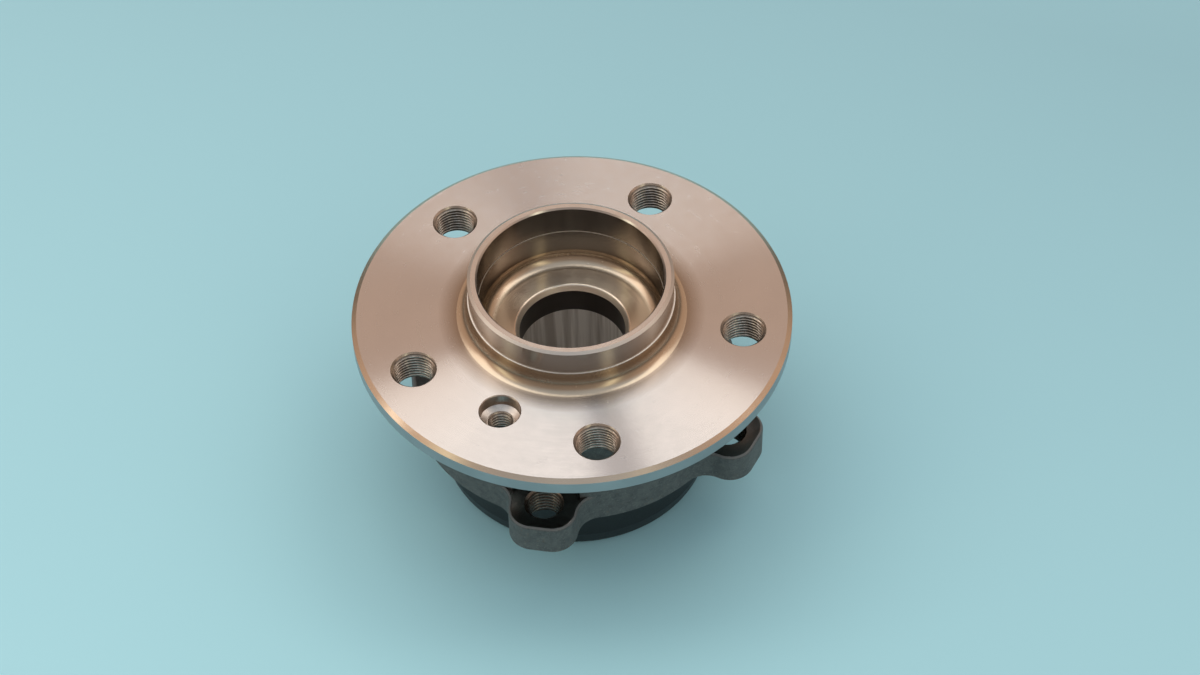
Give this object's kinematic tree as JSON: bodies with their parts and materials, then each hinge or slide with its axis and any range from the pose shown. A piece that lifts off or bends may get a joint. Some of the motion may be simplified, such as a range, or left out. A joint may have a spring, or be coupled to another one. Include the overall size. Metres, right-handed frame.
{
  "type": "wheel hub bearing",
  "caption": "Flanged wheel hub bearing unit: a turning wheel flange and pilot on angular-contact ball rows in a fixed outer ring with threaded lugs and a protective cover.",
  "frame": {"origin": "centre of the wheel-mounting face, on the axis of rotation", "axes": "+Z along the axis of rotation, outboard (towards the wheel); +X and +Y along the two symmetry lines of the knuckle lugs"},
  "size_m": [0.1428, 0.1428, 0.0827],
  "materials": {
    "machined_steel": "fine turned",
    "forged_steel": "dark matt forging scale",
    "ground_steel": "ground",
    "ball_steel": "polished",
    "pressed_steel": "drawn sheet",
    "cage_nylon": "moulded",
    "seal_rubber": "moulded",
    "magnetic_rubber": "matt",
    "black_plastic": "satin"
  },
  "bodies": {
    "housing": {"outer_ring": "forged_steel", "outboard_seal_case": "pressed_steel", "outboard_seal_lips": "seal_rubber", "inboard_seal_case": "pressed_steel", "inboard_seal_lips": "seal_rubber", "dust_cap": "pressed_steel"},
    "hub": {"hub_flange": "machined_steel", "inboard_inner_ring": "ground_steel", "slinger": "pressed_steel", "encoder_ring": "magnetic_rubber"},
    "outboard_cage": {"outboard_cage": "cage_nylon"},
    "inboard_cage": {"inboard_cage": "cage_nylon"},
    "cover": {"protective_cover": "black_plastic"},
    "outboard_ball_01": {"outboard_ball_01": "ball_steel"},
    "outboard_ball_02": {"outboard_ball_02": "ball_steel"},
    "outboard_ball_03": {"outboard_ball_03": "ball_steel"},
    "outboard_ball_04": {"outboard_ball_04": "ball_steel"},
    "outboard_ball_05": {"outboard_ball_05": "ball_steel"},
    "outboard_ball_06": {"outboard_ball_06": "ball_steel"},
    "outboard_ball_07": {"outboard_ball_07": "ball_steel"},
    "outboard_ball_08": {"outboard_ball_08": "ball_steel"},
    "outboard_ball_09": {"outboard_ball_09": "ball_steel"},
    "outboard_ball_10": {"outboard_ball_10": "ball_steel"},
    "outboard_ball_11": {"outboard_ball_11": "ball_steel"},
    "outboard_ball_12": {"outboard_ball_12": "ball_steel"},
    "outboard_ball_13": {"outboard_ball_13": "ball_steel"},
    "outboard_ball_14": {"outboard_ball_14": "ball_steel"},
    "inboard_ball_01": {"inboard_ball_01": "ball_steel"},
    "inboard_ball_02": {"inboard_ball_02": "ball_steel"},
    "inboard_ball_03": {"inboard_ball_03": "ball_steel"},
    "inboard_ball_04": {"inboard_ball_04": "ball_steel"},
    "inboard_ball_05": {"inboard_ball_05": "ball_steel"},
    "inboard_ball_06": {"inboard_ball_06": "ball_steel"},
    "inboard_ball_07": {"inboard_ball_07": "ball_steel"},
    "inboard_ball_08": {"inboard_ball_08": "ball_steel"},
    "inboard_ball_09": {"inboard_ball_09": "ball_steel"},
    "inboard_ball_10": {"inboard_ball_10": "ball_steel"},
    "inboard_ball_11": {"inboard_ball_11": "ball_steel"},
    "inboard_ball_12": {"inboard_ball_12": "ball_steel"},
    "inboard_ball_13": {"inboard_ball_13": "ball_steel"},
    "inboard_ball_14": {"inboard_ball_14": "ball_steel"}
  },
  "joints": [
    {"name": "hub_spin", "type": "hinge", "parent": "housing", "child": "hub", "pos_m": [0, 0, -0.0355], "axis": [0, 0, 1], "continuous": true},
    {"name": "outboard_cage_spin", "type": "hinge", "parent": "housing", "child": "outboard_cage", "pos_m": [0, 0, -0.025], "axis": [0, 0, 1], "continuous": true},
    {"name": "inboard_cage_spin", "type": "hinge", "parent": "housing", "child": "inboard_cage", "pos_m": [0, 0, -0.046], "axis": [0, 0, 1], "continuous": true},
    {"name": "outboard_ball_01_roll", "type": "hinge", "parent": "outboard_cage", "child": "outboard_ball_01", "pos_m": [0.034, 0, -0.025], "axis": [0.6157, 0, 0.788], "continuous": true},
    {"name": "outboard_ball_02_roll", "type": "hinge", "parent": "outboard_cage", "child": "outboard_ball_02", "pos_m": [0.03063, 0.01475, -0.025], "axis": [0.5547, 0.2671, 0.788], "continuous": true},
    {"name": "outboard_ball_03_roll", "type": "hinge", "parent": "outboard_cage", "child": "outboard_ball_03", "pos_m": [0.0212, 0.02658, -0.025], "axis": [0.3839, 0.4813, 0.788], "continuous": true},
    {"name": "outboard_ball_04_roll", "type": "hinge", "parent": "outboard_cage", "child": "outboard_ball_04", "pos_m": [0.00757, 0.03315, -0.025], "axis": [0.137, 0.6002, 0.788], "continuous": true},
    {"name": "outboard_ball_05_roll", "type": "hinge", "parent": "outboard_cage", "child": "outboard_ball_05", "pos_m": [-0.00757, 0.03315, -0.025], "axis": [-0.137, 0.6002, 0.788], "continuous": true},
    {"name": "outboard_ball_06_roll", "type": "hinge", "parent": "outboard_cage", "child": "outboard_ball_06", "pos_m": [-0.0212, 0.02658, -0.025], "axis": [-0.3839, 0.4813, 0.788], "continuous": true},
    {"name": "outboard_ball_07_roll", "type": "hinge", "parent": "outboard_cage", "child": "outboard_ball_07", "pos_m": [-0.03063, 0.01475, -0.025], "axis": [-0.5547, 0.2671, 0.788], "continuous": true},
    {"name": "outboard_ball_08_roll", "type": "hinge", "parent": "outboard_cage", "child": "outboard_ball_08", "pos_m": [-0.034, 0, -0.025], "axis": [-0.6157, 0, 0.788], "continuous": true},
    {"name": "outboard_ball_09_roll", "type": "hinge", "parent": "outboard_cage", "child": "outboard_ball_09", "pos_m": [-0.03063, -0.01475, -0.025], "axis": [-0.5547, -0.2671, 0.788], "continuous": true},
    {"name": "outboard_ball_10_roll", "type": "hinge", "parent": "outboard_cage", "child": "outboard_ball_10", "pos_m": [-0.0212, -0.02658, -0.025], "axis": [-0.3839, -0.4813, 0.788], "continuous": true},
    {"name": "outboard_ball_11_roll", "type": "hinge", "parent": "outboard_cage", "child": "outboard_ball_11", "pos_m": [-0.00757, -0.03315, -0.025], "axis": [-0.137, -0.6002, 0.788], "continuous": true},
    {"name": "outboard_ball_12_roll", "type": "hinge", "parent": "outboard_cage", "child": "outboard_ball_12", "pos_m": [0.00757, -0.03315, -0.025], "axis": [0.137, -0.6002, 0.788], "continuous": true},
    {"name": "outboard_ball_13_roll", "type": "hinge", "parent": "outboard_cage", "child": "outboard_ball_13", "pos_m": [0.0212, -0.02658, -0.025], "axis": [0.3839, -0.4813, 0.788], "continuous": true},
    {"name": "outboard_ball_14_roll", "type": "hinge", "parent": "outboard_cage", "child": "outboard_ball_14", "pos_m": [0.03063, -0.01475, -0.025], "axis": [0.5547, -0.2671, 0.788], "continuous": true},
    {"name": "inboard_ball_01_roll", "type": "hinge", "parent": "inboard_cage", "child": "inboard_ball_01", "pos_m": [0.034, 0, -0.046], "axis": [-0.6157, 0, 0.788], "continuous": true},
    {"name": "inboard_ball_02_roll", "type": "hinge", "parent": "inboard_cage", "child": "inboard_ball_02", "pos_m": [0.03063, 0.01475, -0.046], "axis": [-0.5547, -0.2671, 0.788], "continuous": true},
    {"name": "inboard_ball_03_roll", "type": "hinge", "parent": "inboard_cage", "child": "inboard_ball_03", "pos_m": [0.0212, 0.02658, -0.046], "axis": [-0.3839, -0.4813, 0.788], "continuous": true},
    {"name": "inboard_ball_04_roll", "type": "hinge", "parent": "inboard_cage", "child": "inboard_ball_04", "pos_m": [0.00757, 0.03315, -0.046], "axis": [-0.137, -0.6002, 0.788], "continuous": true},
    {"name": "inboard_ball_05_roll", "type": "hinge", "parent": "inboard_cage", "child": "inboard_ball_05", "pos_m": [-0.00757, 0.03315, -0.046], "axis": [0.137, -0.6002, 0.788], "continuous": true},
    {"name": "inboard_ball_06_roll", "type": "hinge", "parent": "inboard_cage", "child": "inboard_ball_06", "pos_m": [-0.0212, 0.02658, -0.046], "axis": [0.3839, -0.4813, 0.788], "continuous": true},
    {"name": "inboard_ball_07_roll", "type": "hinge", "parent": "inboard_cage", "child": "inboard_ball_07", "pos_m": [-0.03063, 0.01475, -0.046], "axis": [0.5547, -0.2671, 0.788], "continuous": true},
    {"name": "inboard_ball_08_roll", "type": "hinge", "parent": "inboard_cage", "child": "inboard_ball_08", "pos_m": [-0.034, 0, -0.046], "axis": [0.6157, 0, 0.788], "continuous": true},
    {"name": "inboard_ball_09_roll", "type": "hinge", "parent": "inboard_cage", "child": "inboard_ball_09", "pos_m": [-0.03063, -0.01475, -0.046], "axis": [0.5547, 0.2671, 0.788], "continuous": true},
    {"name": "inboard_ball_10_roll", "type": "hinge", "parent": "inboard_cage", "child": "inboard_ball_10", "pos_m": [-0.0212, -0.02658, -0.046], "axis": [0.3839, 0.4813, 0.788], "continuous": true},
    {"name": "inboard_ball_11_roll", "type": "hinge", "parent": "inboard_cage", "child": "inboard_ball_11", "pos_m": [-0.00757, -0.03315, -0.046], "axis": [0.137, 0.6002, 0.788], "continuous": true},
    {"name": "inboard_ball_12_roll", "type": "hinge", "parent": "inboard_cage", "child": "inboard_ball_12", "pos_m": [0.00757, -0.03315, -0.046], "axis": [-0.137, 0.6002, 0.788], "continuous": true},
    {"name": "inboard_ball_13_roll", "type": "hinge", "parent": "inboard_cage", "child": "inboard_ball_13", "pos_m": [0.0212, -0.02658, -0.046], "axis": [-0.3839, 0.4813, 0.788], "continuous": true},
    {"name": "inboard_ball_14_roll", "type": "hinge", "parent": "inboard_cage", "child": "inboard_ball_14", "pos_m": [0.03063, -0.01475, -0.046], "axis": [-0.5547, 0.2671, 0.788], "continuous": true},
    {"name": "cover_pull_off", "type": "slide", "parent": "housing", "child": "cover", "axis": [0, 0, -1], "range_m": [0, 0.03]}
  ],
  "couplings": [
    {"joint": "outboard_cage_spin", "follows": "hub_spin", "ratio": 0.42641},
    {"joint": "inboard_cage_spin", "follows": "hub_spin", "ratio": 0.42641},
    {"joint": "outboard_ball_01_roll", "follows": "hub_spin", "ratio": -2.6192},
    {"joint": "outboard_ball_02_roll", "follows": "hub_spin", "ratio": -2.6192},
    {"joint": "outboard_ball_03_roll", "follows": "hub_spin", "ratio": -2.6192},
    {"joint": "outboard_ball_04_roll", "follows": "hub_spin", "ratio": -2.6192},
    {"joint": "outboard_ball_05_roll", "follows": "hub_spin", "ratio": -2.6192},
    {"joint": "outboard_ball_06_roll", "follows": "hub_spin", "ratio": -2.6192},
    {"joint": "outboard_ball_07_roll", "follows": "hub_spin", "ratio": -2.6192},
    {"joint": "outboard_ball_08_roll", "follows": "hub_spin", "ratio": -2.6192},
    {"joint": "outboard_ball_09_roll", "follows": "hub_spin", "ratio": -2.6192},
    {"joint": "outboard_ball_10_roll", "follows": "hub_spin", "ratio": -2.6192},
    {"joint": "outboard_ball_11_roll", "follows": "hub_spin", "ratio": -2.6192},
    {"joint": "outboard_ball_12_roll", "follows": "hub_spin", "ratio": -2.6192},
    {"joint": "outboard_ball_13_roll", "follows": "hub_spin", "ratio": -2.6192},
    {"joint": "outboard_ball_14_roll", "follows": "hub_spin", "ratio": -2.6192},
    {"joint": "inboard_ball_01_roll", "follows": "hub_spin", "ratio": -2.6192},
    {"joint": "inboard_ball_02_roll", "follows": "hub_spin", "ratio": -2.6192},
    {"joint": "inboard_ball_03_roll", "follows": "hub_spin", "ratio": -2.6192},
    {"joint": "inboard_ball_04_roll", "follows": "hub_spin", "ratio": -2.6192},
    {"joint": "inboard_ball_05_roll", "follows": "hub_spin", "ratio": -2.6192},
    {"joint": "inboard_ball_06_roll", "follows": "hub_spin", "ratio": -2.6192},
    {"joint": "inboard_ball_07_roll", "follows": "hub_spin", "ratio": -2.6192},
    {"joint": "inboard_ball_08_roll", "follows": "hub_spin", "ratio": -2.6192},
    {"joint": "inboard_ball_09_roll", "follows": "hub_spin", "ratio": -2.6192},
    {"joint": "inboard_ball_10_roll", "follows": "hub_spin", "ratio": -2.6192},
    {"joint": "inboard_ball_11_roll", "follows": "hub_spin", "ratio": -2.6192},
    {"joint": "inboard_ball_12_roll", "follows": "hub_spin", "ratio": -2.6192},
    {"joint": "inboard_ball_13_roll", "follows": "hub_spin", "ratio": -2.6192},
    {"joint": "inboard_ball_14_roll", "follows": "hub_spin", "ratio": -2.6192}
  ]
}
